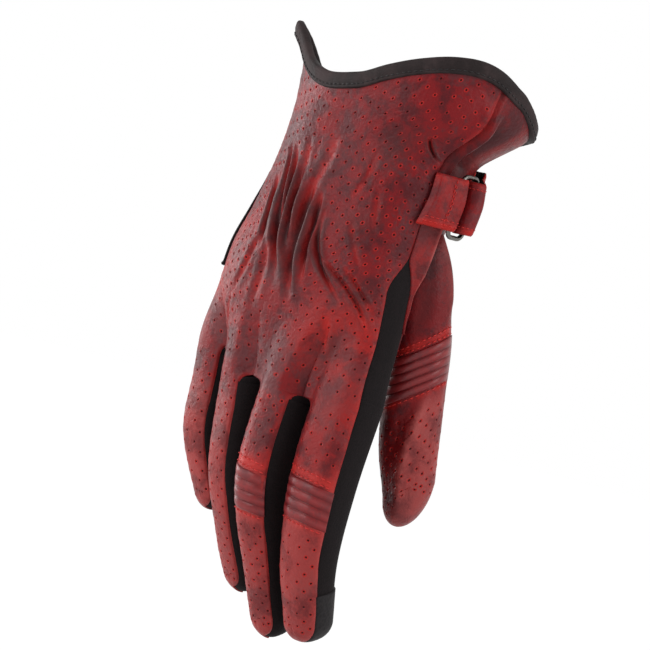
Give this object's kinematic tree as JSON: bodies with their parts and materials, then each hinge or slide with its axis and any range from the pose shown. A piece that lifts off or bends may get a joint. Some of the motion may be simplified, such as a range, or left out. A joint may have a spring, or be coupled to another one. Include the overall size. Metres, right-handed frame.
{
  "type": "riding glove",
  "caption": "Short right-hand leather riding glove with perforated back, black stretch side strips, ribbed knuckles and a buckle-ring wrist strap.",
  "frame": {"origin": "middle of the cuff mouth, where the hand goes in", "axes": "+Z from the fingertips to the cuff, -Y out of the back of the hand, +X to the thumb side"},
  "size_m": [0.1109, 0.0751, 0.2502],
  "materials": {
    "perforated_leather": "antiqued red goatskin, perforated",
    "smooth_leather": "antiqued red goatskin, smooth",
    "rib_leather": "padded ribs, satin",
    "stretch_knit": "matt black stretch knit",
    "touch_patch": "matt black conductive leather",
    "binding": "charcoal folded leather tape",
    "nickel": "nickel-plated wire",
    "elastic": "woven elastic",
    "hook_and_loop": "hook and loop tape"
  },
  "bodies": {
    "hand": {"back_panel": "perforated_leather", "palm_panel": "smooth_leather", "index_side_strip": "stretch_knit", "ulnar_side_strip": "stretch_knit", "index_middle_fourchette": "stretch_knit", "middle_ring_finger_fourchette": "stretch_knit", "ring_finger_little_fourchette": "stretch_knit", "thumb_gusset": "smooth_leather", "cuff_binding": "binding", "gather_elastic": "elastic", "strap_tab": "smooth_leather", "closure_strap": "smooth_leather", "loop_patch": "hook_and_loop"},
    "index_end": {"index_knuckle_ribs": "rib_leather", "index_end_back": "perforated_leather", "index_end_palm": "smooth_leather", "index_end_outer_wall": "stretch_knit", "index_end_inner_wall": "stretch_knit", "index_end_touch_patch": "touch_patch"},
    "middle_end": {"middle_knuckle_ribs": "rib_leather", "middle_end_back": "perforated_leather", "middle_end_palm": "smooth_leather", "middle_end_sidewall": "stretch_knit"},
    "ring_finger_end": {"ring_finger_end_back": "perforated_leather", "ring_finger_end_palm": "smooth_leather", "ring_finger_end_sidewall": "stretch_knit"},
    "little_end": {"little_end_back": "perforated_leather", "little_end_palm": "smooth_leather", "little_end_sidewall": "stretch_knit"},
    "thumb_end": {"thumb_knuckle_ribs": "rib_leather", "thumb_end_back": "perforated_leather", "thumb_end_palm": "smooth_leather"},
    "strap_ring": {"strap_ring": "nickel"},
    "strap_flap": {"strap_flap": "smooth_leather", "hook_patch": "hook_and_loop"}
  },
  "joints": [
    {"name": "index_flex", "type": "hinge", "parent": "hand", "child": "index_end", "pos_m": [0.02589, -0.01055, -0.17158], "axis": [0.9998, 0.0001, -0.0178], "range_deg": [0, 60], "stiffness_Nm_per_rad": 0.03},
    {"name": "middle_flex", "type": "hinge", "parent": "hand", "child": "middle_end", "pos_m": [0.002, -0.01748, -0.1711], "axis": [1, 0, 0], "range_deg": [0, 60], "stiffness_Nm_per_rad": 0.03},
    {"name": "ring_finger_flex", "type": "hinge", "parent": "hand", "child": "ring_finger_end", "pos_m": [-0.02059, -0.01253, -0.16901], "axis": [0.9995, -0.0066, 0.0323], "range_deg": [0, 60], "stiffness_Nm_per_rad": 0.03},
    {"name": "little_flex", "type": "hinge", "parent": "hand", "child": "little_end", "pos_m": [-0.04163, -0.009, -0.15991], "axis": [0.9961, -0.0132, 0.0869], "range_deg": [0, 60], "stiffness_Nm_per_rad": 0.03},
    {"name": "thumb_flex", "type": "hinge", "parent": "hand", "child": "thumb_end", "pos_m": [0.0228, 0.01885, -0.10394], "axis": [0.622, 0.494, 0.6075], "range_deg": [0, 50], "stiffness_Nm_per_rad": 0.03},
    {"name": "ring_swing", "type": "hinge", "parent": "hand", "child": "strap_ring", "pos_m": [0.04483, -0.00496, -0.05], "axis": [0.1141, 0.1834, 0.9764], "range_deg": [-8, 8]},
    {"name": "flap_peel", "type": "hinge", "parent": "hand", "child": "strap_flap", "pos_m": [0.04023, 0.01134, -0.05], "axis": [-0.1121, -0.2018, -0.973], "range_deg": [0, 100]}
  ]
}
